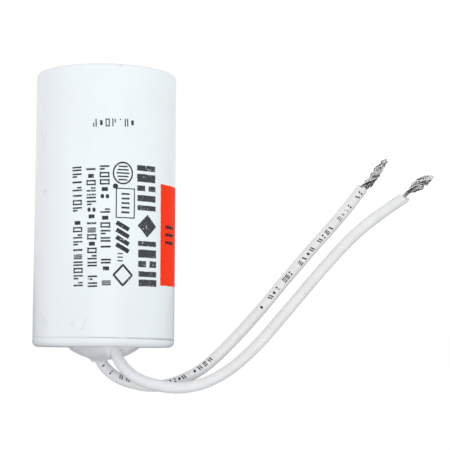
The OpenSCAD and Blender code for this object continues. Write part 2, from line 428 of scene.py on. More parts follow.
@dataclass(frozen=True)
class MouldedPlastic:
    """White glossy moulded plastic with faint handling marks, with its places in mm."""

    name: str
    colour: Colour = (0.805, 0.872, 0.892)
    shade: Colour = (0.785, 0.842, 0.87)
    # Painted shade: the +X side, away from the key lamp, is painted darker.
    shaded_side: Colour = (0.780, 0.812, 0.850)
    shaded_side_from: float = 3.9
    shaded_side_to: float = 15.0
    # Painted shade: the front is painted darker towards the lid end, most in the middle and
    # less round the sides.
    low: Colour = (0.752, 0.800, 0.823)
    lid_shade_from: float = 36.0
    lid_shade_to: float = 62.0
    lid_shade_middle: float = 1.5
    rubbed: Colour = (0.70, 0.68, 0.69)
    rim: float = 0.9
    # The grey of the real smudges and scratches, also used for the painted shade in the seam.
    grime_and_seam_shade: Colour = (0.30, 0.31, 0.33)
    roughness: float = 0.34
    smudges: tuple[Scuff, ...] = ()
    scratches: tuple[Scuff, ...] = ()
    # The painted shade in the seam: its least strength, and where it steps up or down, to
    # where and by how much. Places count from the middle towards -X.
    seam_shade: float = 0.14
    seam_steps: tuple[tuple[float, float, float], ...] = (
        (-2.6, -1.6, 0.36), (4.7, 5.3, -0.30), (6.6, 7.2, 0.60), (11.5, 13.0, 0.18),
    )
    seam_tilt: float = 0.018
    seam_width: float = 0.12
    seam_widest: float = 0.17

    def _tone(self, paint: Paint, x: Value, across: Value, along: Value) -> Value:
        """The plastic's tone before the marks: random clouds, painted shade on the +X side and
        towards the lid end, and the rubbed foot.
        """
        cloud = paint.noise(0.011, 3.0, 0.55)
        tone = paint.blend(cloud.ease(0.35, 0.7), self.colour, self.shade)
        # Painted shade on the +X side.
        tone = paint.blend(x.ease(self.shaded_side_from, self.shaded_side_to), tone, self.shaded_side)
        # Painted shade towards the lid end, strongest at the front.
        middle = 1.0 - (across - self.lid_shade_middle).math("ABSOLUTE").ease(5.0, 21.0) * 0.95
        tone = paint.blend(along.ease(self.lid_shade_from, self.lid_shade_to) * middle, tone, self.low)
        return paint.blend(along.ease(self.rim, 0.1) * 0.8, tone, self.rubbed)

    def _seam_shade(self, x: Value, along: Value) -> Value:
        """The painted shade along the seam under the lid."""
        side = -x
        width = side.ease(11.0, 15.0) * (self.seam_widest - self.seam_width) + self.seam_width
        line = (along - SEAM / MM - side * self.seam_tilt) / width
        level = sum((side.ease(start, end) * step for start, end, step in self.seam_steps),
                    start=self.seam_shade)
        return (-line ** 2.0).math("EXPONENT") * level

    def make(self) -> bpy.types.Material:
        """Builds the material.

        Returns:
            The material, with its marks on the front and painted shade in the seam under the
            lid.
        """
        paint = Paint(self.name)
        x, y, z = (part / MM for part in paint.split(paint.place))
        across = (-x).math("ARCTAN2", -y) * (CAN_RADIUS / MM)
        broken = paint.noise(0.0007, 3.0, 0.7).ease(0.35, 0.6)
        # Painted shade along the seam, broken up by noise; the smudges and scratches added
        # below are real marks.
        mark = self._seam_shade(x, z) * (broken * 0.3 + 0.7)
        for smudge in self.smudges:
            mark = smudge.shown(across, z) * broken + mark
        for scratch in self.scratches:
            mark = scratch.shown(across, z) + mark
        rub = paint.node("ShaderNodeMapping", None,
                         {"Vector": paint.place, "Scale": (1, 1, 0.25)})
        rub = paint.noise(0.004, 4.0, 0.6, rub)
        paint.set(Base_Color=paint.blend(mark, self._tone(paint, x, across, z), self.grime_and_seam_shade),
                  Roughness=rub * 0.16 + (self.roughness - 0.08),
                  IOR=1.49, Subsurface_Weight=0.06, Subsurface_Scale=0.002,
                  Coat_Weight=0.3, Coat_Roughness=0.08, Coat_IOR=1.5)
        paint.bump(paint.noise(0.0035, 3.0, 0.5), 0.00006, 0.5)
        return paint.material


@dataclass(frozen=True)
class PourResin:
    """Cloudy grey casting resin with a grainy skin."""

    name: str
    colour: Colour = (0.80, 0.81, 0.86)
    dark: Colour = (0.69, 0.70, 0.75)
    # Painted light: the side towards -X is painted this lighter tone.
    painted_light: Colour = (0.98, 0.98, 1.0)
    grain: float = 0.0005

    def make(self) -> bpy.types.Material:
        """Builds the material, which is rougher towards the side that the leads turn to, and
        painted lighter there.
        """
        paint = Paint(self.name)
        x, _, _ = paint.split(paint.place)
        rough = (-x).ease(-0.002, 0.005) * 0.65 + 0.35
        grain = paint.noise(self.grain, 4.0, 0.65)
        cloud = paint.noise(0.004, 2.0, 0.5)
        tone = ((grain - 0.5) * rough * 0.8 + (cloud - 0.5) * 0.4).ease(-0.13, 0.13)
        # Painted light: the -X side, which lies in shade, is painted lighter.
        shade = paint.blend((-x).ease(0.002, 0.005), self.colour, self.painted_light)
        paint.set(Base_Color=paint.blend(tone, self.dark, shade), Roughness=0.45,
                  IOR=1.5, Subsurface_Weight=0.1, Subsurface_Scale=0.002,
                  Subsurface_Radius=(1.0, 1.0, 1.0))
        paint.bump(grain * rough, 0.00012, 0.7)
        return paint.material


@dataclass(frozen=True)
class SoftVinyl:
    """Smooth white lead insulation."""

    name: str
    colour: Colour = (0.755, 0.768, 0.775)
    shade: Colour = (0.705, 0.713, 0.722)

    def make(self) -> bpy.types.Material:
        """Builds the material."""
        paint = Paint(self.name)
        cloud = paint.noise(0.006, 3.0, 0.6)
        scuff = paint.noise(0.0009, 4.0, 0.7)
        tone = (cloud * 0.6 + scuff * 0.4).ease(0.38, 0.66)
        paint.set(Base_Color=paint.blend(tone, self.colour, self.shade),
                  Roughness=scuff * 0.2 + 0.34, IOR=1.53,
                  Subsurface_Weight=0.08, Subsurface_Scale=0.0015,
                  Subsurface_Radius=(1.0, 1.0, 1.0), Coat_Weight=0.15, Coat_Roughness=0.1)
        paint.bump(scuff, 0.00004, 0.5)
        return paint.material


@dataclass(frozen=True)
class PrintInk:
    """Stamped ink that did not take everywhere."""

    name: str
    colour: Colour
    bare: Colour = (0.72, 0.74, 0.76)
    gaps: float = 0.35
    grain: float = 0.00045
    roughness: float = 0.5
    shine: float = 0.25

    def make(self) -> bpy.types.Material:
        """Builds the material, with specks where the plastic shows through."""
        paint = Paint(self.name)
        fine = paint.noise(self.grain, 3.0, 0.6)
        wide = paint.noise(0.003, 2.0, 0.5)
        worn = self.gaps * 0.18
        cover = (fine * 0.75 + wide * 0.25).ease(worn + 0.30, worn + 0.42)
        paint.set(Base_Color=paint.blend(cover, self.bare, self.colour),
                  Roughness=fine * 0.2 + (self.roughness - 0.1),
                  Specular_IOR_Level=self.shine)
        return paint.material


@dataclass(frozen=True)
class Metal:
    """A metal mottled between a bright and a dark tone, with strands of unlike tone; on bare
    strands the dark is painted shade.
    """

    name: str
    bright: Colour
    mottle_and_painted_shade: Colour
    roughness: float
    grain: float
    depth: float = 0.00002
    split: tuple[float, float] = (0.36, 0.62)
    apart: float = 0.0

    def make(self) -> bpy.types.Material:
        """Builds the material, in which apart is how unlike the strands are."""
        paint = Paint(self.name)
        tone = grain = paint.noise(self.grain, 4.0, 0.65)
        if self.apart:
            strand = paint.node("ShaderNodeAttribute", {"attribute_name": "strand"}, None,
                                "Fac")
            own = paint.node("ShaderNodeTexWhiteNoise", {"noise_dimensions": "1D"},
                             {"W": strand}, "Value")
            tone = grain * (1 - self.apart) + own * self.apart
        tone = tone.ease(*self.split)
        # On the bare strands the near-black dark tone is painted shade and painted reflection.
        paint.set(Base_Color=paint.blend(tone, self.mottle_and_painted_shade, self.bright), Metallic=1.0,
                  Roughness=(1 - tone) * 0.25 + self.roughness)
        paint.bump(grain, self.depth, 0.6)
        return paint.material


@dataclass(frozen=True)
class PlainFilm:
    """Thin film or plain plastic for the hidden pieces, in layers lines metres apart."""

    name: str
    colour: Colour
    lines: float
    roughness: float

    def make(self) -> bpy.types.Material:
        """Builds the material, with faint rings from the layers."""
        paint = Paint(self.name)
        x, y, _ = paint.split(paint.place)
        radius = (x * x + y * y).math("SQRT")
        layer = (radius * (math.tau / self.lines)).math("SINE") * 0.5 + 0.5
        dark = tuple(part * 0.82 for part in self.colour)
        cloud = paint.noise(0.003, 2.0, 0.5)
        paint.set(Base_Color=paint.blend(layer * 0.6 + cloud * 0.4, dark, self.colour),
                  Roughness=cloud * 0.2 + self.roughness)
        return paint.material


@dataclass(frozen=True)
class StudioWhite:
    """Pale floor and backdrop. They look white, and light the part more from the front."""

    name: str
    shown: float = 0.94
    share: float = 0.15
    near: float = 0.93
    far: float = 0.12

    def make(self) -> bpy.types.Material:
        """Builds the material.

        Returns:
            The material: what it shows to the eye is one brightness, and the light that it
            throws on the part falls off from the front to the back of the studio.
        """
        paint = Paint(self.name)
        _, y, _ = paint.split(paint.place)
        behind = y.ease(0.1, 1.5)
        thrown = paint.blend(behind, (self.near,) * 3, (self.far,) * 3)
        seen = paint.node("ShaderNodeLightPath", None, None, "Is Camera Ray")
        paint.set(Base_Color=(self.share,) * 3, Roughness=1.0, Specular_IOR_Level=0.0,
                  Emission_Color=paint.blend(seen, thrown, (self.shown,) * 3),
                  Emission_Strength=1.0)
        return paint.material


# ---------------------------------------------------------------------------------------
# Meshes
# ---------------------------------------------------------------------------------------


def make_piece(name: str, vertices: np.ndarray, faces: list[tuple[int, ...]],
               smooth: bool = True) -> bpy.types.Object:
    """Makes a mesh piece at the origin.

    Args:
        name: the piece's name.
        vertices: its corners in metres, in the frame's axes.
        faces: corner numbers, anticlockwise seen from outside.
        smooth: whether the faces are shaded smooth.

    Returns:
        The piece.
    """
    mesh = bpy.data.meshes.new(name)
    mesh.from_pydata([tuple(v) for v in vertices.tolist()], [], faces)
    mesh.update()
    mesh.polygons.foreach_set("use_smooth", [smooth] * len(mesh.polygons))
    piece = bpy.data.objects.new(name, mesh)
    bpy.context.scene.collection.objects.link(piece)
    return piece


def ring_faces(rings: int, count: int, first: int = 0,
               inside: bool = False) -> list[tuple[int, ...]]:
    """Joins each ring of corners to the next.

    Args:
        rings: how many rings there are.
        count: the corners of a ring.
        first: the first ring's first corner.
        inside: whether the faces look towards the rings' axis.

    Returns:
        Four-cornered faces.
    """
    faces = []
    for low in range(first, first + (rings - 1) * count, count):
        for j in range(count):
            k = (j + 1) % count
            face = (low + j, low + k, low + count + k, low + count + j)
            faces.append((face[0], *face[:0:-1]) if inside else face)
    return faces


def fit(piece: bpy.types.Object, material: bpy.types.Material | None, slot: str | None,
        *nodes: str) -> None:
    """Dresses a piece and hangs it on the part.

    Args:
        piece: the piece.
        material: its material, or None where it has one.
        slot: the record's material slot, or None for ink. It is not used.
        nodes: the CAD nodes that it stands for.
    """
    if material is not None:
        piece.data.materials.clear()
        piece.data.materials.append(material)
    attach(piece, "root")
    if nodes:
        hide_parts(*nodes)
    log.info("%s: %d faces", piece.name, len(piece.data.polygons))


def dress(name: str, material: bpy.types.Material) -> None:
    """Gives one of the CAD model's own nodes its finish."""
    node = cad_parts[name]
    node.data.materials.clear()
    node.data.materials.append(material)
    log.info("%s: dressed", name)


def smooth_line(points: tuple[Point, ...], step: float) -> np.ndarray:
    """Runs one smooth curve through the points.

    Args:
        points: what the curve passes through, in metres.
        step: the distance between the returned points.

    Returns:
        Points along the curve, evenly spaced.
    """
    p = np.array(points)
    p = np.vstack([2 * p[0] - p[1], p, 2 * p[-1] - p[-2]])
    fine = []
    for i in range(1, len(p) - 2):
        a, b, c, d = p[i - 1:i + 3]
        t = np.linspace(0, 1, 24, endpoint=False)[:, None]
        fine.append(0.5 * (2 * b + (c - a) * t + (2 * a - 5 * b + 4 * c - d) * t ** 2
                           + (3 * b - a - 3 * c + d) * t ** 3))
    line = np.vstack([*fine, p[-2][None]])
    run = run_along(line)
    stops = np.linspace(0, run[-1], max(2, round(run[-1] / step) + 1))
    return np.stack([np.interp(stops, run, line[:, k]) for k in range(3)], 1)


def run_along(line: np.ndarray) -> np.ndarray:
    """How far along a line each of its points lies."""
    return np.r_[0, np.cumsum(np.linalg.norm(np.diff(line, axis=0), axis=1))]


def line_frames(line: np.ndarray) -> tuple[np.ndarray, np.ndarray, np.ndarray]:
    """Directions along a line and two more across it, the first of them towards -Y.

    Args:
        line: the centre line.

    Returns:
        For each point the way ahead, the way to the front and the way to the side.
    """
    ahead = np.gradient(line, axis=0)
    ahead /= np.linalg.norm(ahead, axis=1)[:, None]
    front = np.array([0.0, -1.0, 0.0]) - ahead * (ahead @ [0.0, -1.0, 0.0])[:, None]
    front /= np.linalg.norm(front, axis=1)[:, None]
    return ahead, front, np.cross(ahead, front)


class Cut(Enum):
    """How the insulation ends."""

    PLAIN = "plain"
    RAGGED = "ragged"
    SLANTED = "slanted"


@dataclass(frozen=True)
class Tube:
    """Round insulation along a line, with a hollow at its stripped end."""

    name: str
    line: np.ndarray
    radius: float = WIRE_RADIUS
    bore: float = 0.00072
    hollow: float = 0.0016
    sides: int = 28
    cut: Cut = Cut.PLAIN
    tag_angle: float = 2.05
    tag_spread: float = 0.42

    def _trim(self, angle: np.ndarray) -> np.ndarray:
        """How far the cut end stands past the line's end at each angle, in metres."""
        if self.cut is Cut.RAGGED:
            return (0.00022 * np.sin(2 * angle + 0.6) + 0.00016 * np.sin(5 * angle)
                    + 0.00012 * np.sin(9 * angle + 1.1))
        if self.cut is Cut.SLANTED:
            past = angle - self.tag_angle
            tag = np.exp(-((np.angle(np.exp(1j * past)) / self.tag_spread) ** 2))
            return 0.00032 * np.cos(past) + 0.00075 * tag
        return np.zeros_like(angle)

    def build(self) -> bpy.types.Object:
        """Makes the closed tube with a UV map of its length and its angle.

        Returns:
            The piece.
        """
        ahead, front, side = line_frames(self.line)
        angle = np.linspace(0, math.tau, self.sides, endpoint=False)
        spoke = (np.cos(angle)[None, :, None] * front[:, None]
                 + np.sin(angle)[None, :, None] * side[:, None])
        run = run_along(self.line)
        uneven = 1 + 0.008 * np.sin(run / 0.0061) + 0.006 * np.sin(run / 0.0027 + 1)
        rings = list(self.line[:, None] + spoke * (self.radius * uneven)[:, None, None])
        reach = [*run]
        if self.cut is not Cut.PLAIN:
            trim = self._trim(angle)[:, None] * ahead[-1]
            rings[-1] = rings[-1] + trim
            # The rounded lip, the hollow's edge, its mouth and its floor.
            for radius, back in ((self.radius * 0.93, -0.00006), (self.bore * 1.15, 0.0),
                                 (self.bore, 0.00012), (self.bore, self.hollow)):
                ring = self.line[-1] + spoke[-1] * radius - ahead[-1] * back
                rings.append(ring + trim if back < self.hollow else ring)
                reach.append(run[-1] - back)
        count, corners = self.sides, len(rings) * self.sides
        faces = ring_faces(len(rings), count)
        faces.append(tuple(reversed(range(count))))
        faces.append(tuple(range(corners - count, corners)))
        piece = make_piece(self.name, np.concatenate(rings), faces)
        self._unwrap(piece.data, reach)
        return piece

    def _unwrap(self, mesh: bpy.types.Mesh, reach: list[float]) -> None:
        """Gives the mesh a UV map: length in centimetres and turns round the wire."""
        layer = mesh.uv_layers.new(name="UVMap")
        last = self.sides - 1
        for polygon in mesh.polygons:
            spots = [divmod(corner, self.sides) for corner in polygon.vertices]
            seam = len(spots) == 4 and any(j == last for _, j in spots)
            for loop, (ring, j) in zip(polygon.loop_indices, spots):
                turns = 1.0 if seam and j == 0 else j / self.sides
                layer.data[loop].uv = (reach[ring] * 100, turns)


# ---------------------------------------------------------------------------------------
# Leads
# ---------------------------------------------------------------------------------------


@dataclass(frozen=True)
class StrandSizes:
    """How the bare strands of one lead lie, in metres and in shares of their length."""

    length: float
    # The bundle's radius at the insulation, what it swells by, and its radius at the tip.
    neck: float
    swell: float
    tip: float
    turns: float
    # How far a strand strays from its place, in wide and in tight bends.
    wander: float
    kink: float
    seed: int
    neck_end: float
    lean: Point
    count: int = 24
    strand_radius: float = 0.000127
    # Shares: the shortest strand, where the swelling and the tip lie, how unlike the
    # strands are, how many stand out and how far, and where the lean sets in.
    shortest: float = 0.88
    swell_over: float = 0.22
    tip_from: float = 0.74
    loose_girth: float = 0.25
    loose_twist: float = 0.7
    strays: float = 0.14
    stray_force: float = 2.4
    bend_from: float = 0.08
    bend_to: float = 0.30


@dataclass(frozen=True)
class Lead:
    """One flexible lead: its insulation, its buried stretch and its bare strands."""

    letter: str
    route: tuple[Point, ...]
    buried: tuple[Point, ...]
    exit: Point
    length: float
    cut: Cut
    strands: StrandSizes
    step: float = 0.0006
    foot: float = 0.0012

    def line(self) -> np.ndarray:
        """The free stretch's centre line."""
        return smooth_line(self.route, self.step)

    @staticmethod
    def _rods(shape: Shape, count: Value) -> Value:
        """Straight unit lines, one for each strand, that know which strand they are."""
        spots = shape.node("GeometryNodePoints", None, {"Count": count})
        rod = shape.node("GeometryNodeCurvePrimitiveLine", None, {"End": (0.0, 0.0, 1.0)})
        rod = shape.node("GeometryNodeResampleCurve", None, {"Curve": rod, "Count": 60})
        rods = shape.node("GeometryNodeInstanceOnPoints", None,
                          {"Points": spots, "Instance": rod})
        which = shape.node("GeometryNodeInputIndex")
        rods = shape.node("GeometryNodeStoreNamedAttribute",
                          {"data_type": "INT", "domain": "INSTANCE"},
                          {"Geometry": rods, "Name": "strand", "Value": which})
        return shape.node("GeometryNodeRealizeInstances", None, {"Geometry": rods})

    def make_bare_end(self, line: np.ndarray, metal: bpy.types.Material) -> bpy.types.Object:
        """Makes the twisted bare strands.

        Args:
            line: the insulation's centre line.
            metal: their material.

        Returns:
            The piece, which starts inside the insulation.
        """
        sizes = self.strands
        heading = Vector(line[-1] - line[-4]).normalized()
        turned = heading.to_track_quat("Z", "Y")
        start = Vector(line[-1]) - heading * self.foot
        shape = Shape("bare_strands")
        count, thick, length, neck, swell, tip, turns, wander, kink, seed, neck_end = (
            shape.sizes(count=sizes.count, strand_radius=sizes.strand_radius,
                        length=sizes.length + self.foot, neck_radius=sizes.neck,
                        swell=sizes.swell, tip_radius=sizes.tip, turns=sizes.turns,
                        wander=sizes.wander, kink=sizes.kink, seed=sizes.seed,
                        neck_end=sizes.neck_end))
        lean, place, turn = shape.sizes(lean=tuple(turned.inverted() @ Vector(sizes.lean)),
                                        place=tuple(start), turn=tuple(turned.to_euler()))
        rods = self._rods(shape, count)
        strand = shape.attribute("strand", "INT")
        along = shape.node("GeometryNodeSplineParameter", None, None, "Factor")
        cut = shape.random(sizes.shortest, 1.0, strand, seed)
        share = ((strand + 0.5) / count).math("SQRT")
        stray = shape.random(0.0, 1.0, strand, seed + 7.0)
        stray = stray.math("GREATER_THAN", 1 - sizes.strays) * sizes.stray_force
        rise = ((along - neck_end) / sizes.swell_over).ease(0.0, 1.0)
        fall = along.ease(sizes.tip_from, 1.0)
        girth = neck + swell * rise * (1 - fall) + (tip - neck) * fall
        loose = shape.random(-sizes.loose_girth, sizes.loose_girth, strand, seed + 3.0)
        radius = girth * share * (1 + loose * rise)
        slip = shape.random(-sizes.loose_twist, sizes.loose_twist, strand, seed + 1.0)
        angle = strand * GOLDEN_ANGLE + along * (turns * math.tau + slip)
        x = radius * angle.math("COSINE")
        y = radius * angle.math("SINE")
        z = along * length * cut
        read = shape.combine(along * 3.1, strand * 5.3, seed)
        force = wander * (rise * 0.8 + stray * along * along)
        spot = shape.combine(x, y, z)
        for aside in (shape.scaled(shape.drift(read, 1.6, 1.0), force),
                      shape.scaled(shape.drift(read, 7.0, 1.0), kink * rise),
                      shape.scaled(lean, along.ease(sizes.bend_from, sizes.bend_to))):
            spot = shape.vector("ADD", spot, aside)
        rods = shape.move(rods, spot)
        ring = shape.node("GeometryNodeCurvePrimitiveCircle", None,
                          {"Resolution": 7, "Radius": thick})
        wires = shape.node("GeometryNodeCurveToMesh", None,
                           {"Curve": rods, "Profile Curve": ring, "Fill Caps": True})
        wires = shape.node("GeometryNodeTransform", None,
                           {"Geometry": wires, "Translation": place, "Rotation": turn})
        shape.close(wires, metal, mirrored=False)
        return shape.build(f"bare_end_{self.letter}")

    def build(self, vinyl: bpy.types.Material, metal: bpy.types.Material) -> np.ndarray:
        """Args:
            vinyl: the insulation's material.
            metal: the strands' material.

        Returns:
            The free stretch's centre line.
        """
        line = self.line()
        node = f"lead_{self.letter}"
        wire = Tube(f"{node}_wire", line, cut=self.cut).build()
        fit(wire, vinyl, "lead_insulation", node)
        core = Tube(f"{node}_buried", smooth_line(self.buried, 0.0015)).build()
        fit(core, vinyl, "lead_insulation", node)
        bare = self.make_bare_end(line, metal)
        fit(bare, None, "tinned_copper", f"bare_strands_{self.letter}")
        return line


# ---------------------------------------------------------------------------------------
# Print
# ---------------------------------------------------------------------------------------


class Mark(Enum):
    """The shapes that the print is made of."""

    BAR = 0
    RING = 1
    DISC = 2


class Run(Enum):
    """Which way a row of marks runs."""

    UP = "up the can"
    ROUND = "round the can"


@dataclass(frozen=True)
class Stamp:
    """One printed mark, laid out flat in millimetres before it is wrapped."""

    shape: Mark
    across: float
    along: float
    width: float
    height: float
    turn: float = 0.0


# Small generic signs: bars, boxes, blocks and dots in a cell from 0 to 1.
SIGNS: dict[str, tuple[tuple[Mark, float, float, float, float], ...]] = {
    "i": ((Mark.BAR, 0.5, 0.5, 1.0, 0.30),),
    "p": ((Mark.BAR, 0.5, 0.20, 1.0, 0.26), (Mark.BAR, 0.5, 0.80, 1.0, 0.26)),
    "b": ((Mark.BAR, 0.5, 0.12, 1.0, 0.24), (Mark.BAR, 0.5, 0.88, 1.0, 0.24),
          (Mark.BAR, 0.07, 0.5, 0.13, 0.9), (Mark.BAR, 0.93, 0.5, 0.13, 0.9)),
    "s": ((Mark.BAR, 0.5, 0.22, 1.0, 0.26), (Mark.BAR, 0.27, 0.78, 0.5, 0.26)),
    "t": ((Mark.BAR, 0.73, 0.22, 0.5, 0.26), (Mark.BAR, 0.5, 0.78, 1.0, 0.26)),
    "o": ((Mark.BAR, 0.5, 0.5, 0.62, 0.62),),
    "d": ((Mark.DISC, 0.24, 0.5, 0.36, 0.7), (Mark.DISC, 0.76, 0.5, 0.36, 0.7)),
    "e": ((Mark.BAR, 0.5, 0.14, 0.9, 0.2), (Mark.BAR, 0.5, 0.5, 0.9, 0.2),
          (Mark.BAR, 0.5, 0.86, 0.9, 0.2)),
    ".": ((Mark.DISC, 0.12, 0.5, 0.16, 0.4),),
}


def row(signs: str, across: float, along: float, wide: float, long: float, pitch: float,
        run: Run, lean: float) -> list[Stamp]:
    """Lays out a row of small signs.

    Args:
        signs: one letter for each sign in SIGNS, or a space.
        across: the row's start round the can, in mm.
        along: the row's start up the can, in mm.
        wide: the size of a sign across the row.
        long: its size along the row.
        pitch: the distance from one sign to the next.
        run: which way the row goes.
        lean: how far the row drifts sideways for each mm of its length.

    Returns:
        The row's stamps.
    """
    stamps = []
    for number, sign in enumerate(signs):
        for shape, u, v, w, h in SIGNS.get(sign, ()):
            ahead, aside = number * pitch + v * long, u * wide + lean * number * pitch
            if run is Run.UP:
                stamps.append(Stamp(shape, across + aside, along + ahead, w * wide,
                                    h * long * 1.25, -lean))
            else:
                stamps.append(Stamp(shape, across + ahead, along + aside, h * long, w * wide,
                                    lean))
    return stamps


def stamp_mesh(name: str, stamps: tuple[Stamp, ...]) -> bpy.types.Mesh:
    """Makes one point for each stamp, with its size, turn and shape as attributes."""
    mesh = bpy.data.meshes.new(name)
    mesh.from_pydata([(s.across * MM, s.along * MM, 0.0) for s in stamps], [], [])
    span = mesh.attributes.new("span", "FLOAT_VECTOR", "POINT")
    span.data.foreach_set("vector", [part for s in stamps
                                     for part in (s.width * MM, s.height * MM, 1.0)])
    turn = mesh.attributes.new("turn", "FLOAT", "POINT")
    turn.data.foreach_set("value", [s.turn for s in stamps])
    kind = mesh.attributes.new("kind", "INT", "POINT")
    kind.data.foreach_set("value", [s.shape.value for s in stamps])
    return mesh


@dataclass(frozen=True)
class InkLayer:
    """Flat stamps turned into thin ink and wrapped round the can or along a lead."""

    name: str
    stamps: tuple[Stamp, ...]
    ink: bpy.types.Material
    thick: float = 0.000022
    sunk: float = 0.00006
    ragged: float = 0.00007
    columns: int = 7
    rows: int = 7
    band: float = 0.17
    seed: int = 5

    def _forms(self, shape: Shape) -> dict[Mark, Value]:
        """A slab, a ring and a disc, each one metre across and high."""
        columns, rows, band = shape.sizes(columns=self.columns, rows=self.rows,
                                          ring_band=self.band)
        slab = shape.node("GeometryNodeMeshCube", None,
                          {"Size": (1.0, 1.0, 1.0), "Vertices X": columns,
                           "Vertices Y": rows, "Vertices Z": 2})
        hoop = shape.node("GeometryNodeCurvePrimitiveCircle", None,
                          {"Resolution": 40, "Radius": 0.5 - band * 0.5})
        section = shape.node("GeometryNodeCurvePrimitiveQuadrilateral", None,
                             {"Width": band, "Height": 1.0})
        hoop = shape.node("GeometryNodeCurveToMesh", None,
                          {"Curve": hoop, "Profile Curve": section})
        disc = shape.node("GeometryNodeMeshCylinder", None,
                          {"Vertices": 22, "Radius": 0.5, "Depth": 1.0,
                           "Fill Segments": 4}, "Mesh")
        return {Mark.BAR: slab, Mark.RING: hoop, Mark.DISC: disc}

    def _laid(self, shape: Shape) -> Value:
        """Puts its form on every stamp and roughens its edge."""
        ragged, seed = shape.sizes(ragged=self.ragged, seed=self.seed)
        kind = shape.attribute("kind", "INT")
        turn = shape.combine(0.0, 0.0, shape.attribute("turn", "FLOAT"))
        span = shape.attribute("span", "FLOAT_VECTOR")
        laid = shape.node("GeometryNodeJoinGeometry")
        for mark, form in self._forms(shape).items():
            chosen = shape.node("FunctionNodeCompare",
                                {"data_type": "INT", "operation": "EQUAL"},
                                {"A": kind, "B": mark.value}, "Result")
            part = shape.node("GeometryNodeInstanceOnPoints", None, {
                "Points": shape.inlet, "Selection": chosen, "Instance": form,
                "Rotation": turn, "Scale": span})
            shape.feed(laid.socket.node.inputs["Geometry"], part)
        laid = shape.node("GeometryNodeRealizeInstances", None, {"Geometry": laid})
        place = shape.position()
        x, y, _ = shape.split(place)
        rough = shape.drift(shape.combine(x * 1600.0, y * 1600.0, seed), 1.0, 2.0)
        rough = shape.scaled(shape.vector("MULTIPLY", rough, (1.0, 1.0, 0.0)), ragged * 2.0)
        return shape.move(laid, shape.vector("ADD", place, rough))

    def _raised(self, shape: Shape, radius: float) -> tuple[Value, Value, Value]:
        """Measures the flat ink for wrapping round an axis.

        Args:
            shape: the tree.
            radius: the outer radius of what it is wrapped round, in metres.

        Returns:
            For each point its flat place, that radius and its own distance from the axis.
        """
        reach, thick, sunk = shape.sizes(wrapped_radius=radius, ink_thickness=self.thick,
                                         sunk=self.sunk)
        flat = shape.position()
        height = shape.split(flat)[2]
        return flat, reach, reach + height * (thick + sunk) + (thick - sunk) * 0.5

    def _printed(self, shape: Shape, spot: Value) -> bpy.types.Object:
        """Lays the ink, moves it to its wrapped places and makes the piece."""
        shape.close(shape.move(self._laid(shape), spot), self.ink, mirrored=True)
        return shape.build(self.name, stamp_mesh(self.name + "_stamps", self.stamps))

    def on_can(self, radius: float) -> bpy.types.Object:
        """Wraps the ink round the can.

        Args:
            radius: the can's outer radius, in metres.

        Returns:
            The piece.
        """
        shape = Shape("can_print")
        flat, reach, out = self._raised(shape, radius)
        x, y, _ = shape.split(flat)
        angle = x / reach
        return self._printed(shape, shape.combine(-out * angle.math("SINE"),
                                                  -out * angle.math("COSINE"), y))

    def on_lead(self, line: np.ndarray, radius: float) -> bpy.types.Object:
        """Wraps the ink along a lead: across is its length and along goes round it.

        Args:
            line: the lead's centre line.
            radius: the lead's outer radius, in metres.

        Returns:
            The piece.
        """
        mesh = bpy.data.meshes.new(self.name + "_line")
        count = len(line)
        mesh.from_pydata([tuple(p) for p in line.tolist()],
                         [(i, i + 1) for i in range(count - 1)], [])
        guide = bpy.data.objects.new(self.name + "_line", mesh)
        bpy.context.scene.collection.objects.link(guide)
        shape = Shape("lead_print")
        source = shape.size("Line", guide)
        flat, reach, out = self._raised(shape, radius)
        x, y, _ = shape.split(flat)
        curve = shape.node("GeometryNodeMeshToCurve", None, {
            "Mesh": shape.node("GeometryNodeObjectInfo", None, {"Object": source},
                               "Geometry")})
        middle = shape.node("GeometryNodeSampleCurve",
                            {"mode": "LENGTH", "use_all_curves": True},
                            {"Curves": curve, "Length": x}, "Position")
        ahead = middle.other("Tangent")
        front = (0.0, -1.0, 0.0)
        part = shape.vector("DOT_PRODUCT", ahead, front, out="Value")
        front = shape.vector("SUBTRACT", front, shape.scaled(ahead, part))
        front = shape.vector("NORMALIZE", front)
        side = shape.vector("CROSS_PRODUCT", ahead, front)
        angle = y / reach
        offset = shape.vector("ADD", shape.scaled(front, out * angle.math("COSINE")),
                              shape.scaled(side, out * angle.math("SINE")))
        piece = self._printed(shape, shape.vector("ADD", middle, offset))
        bpy.data.objects.remove(guide)
        return piece


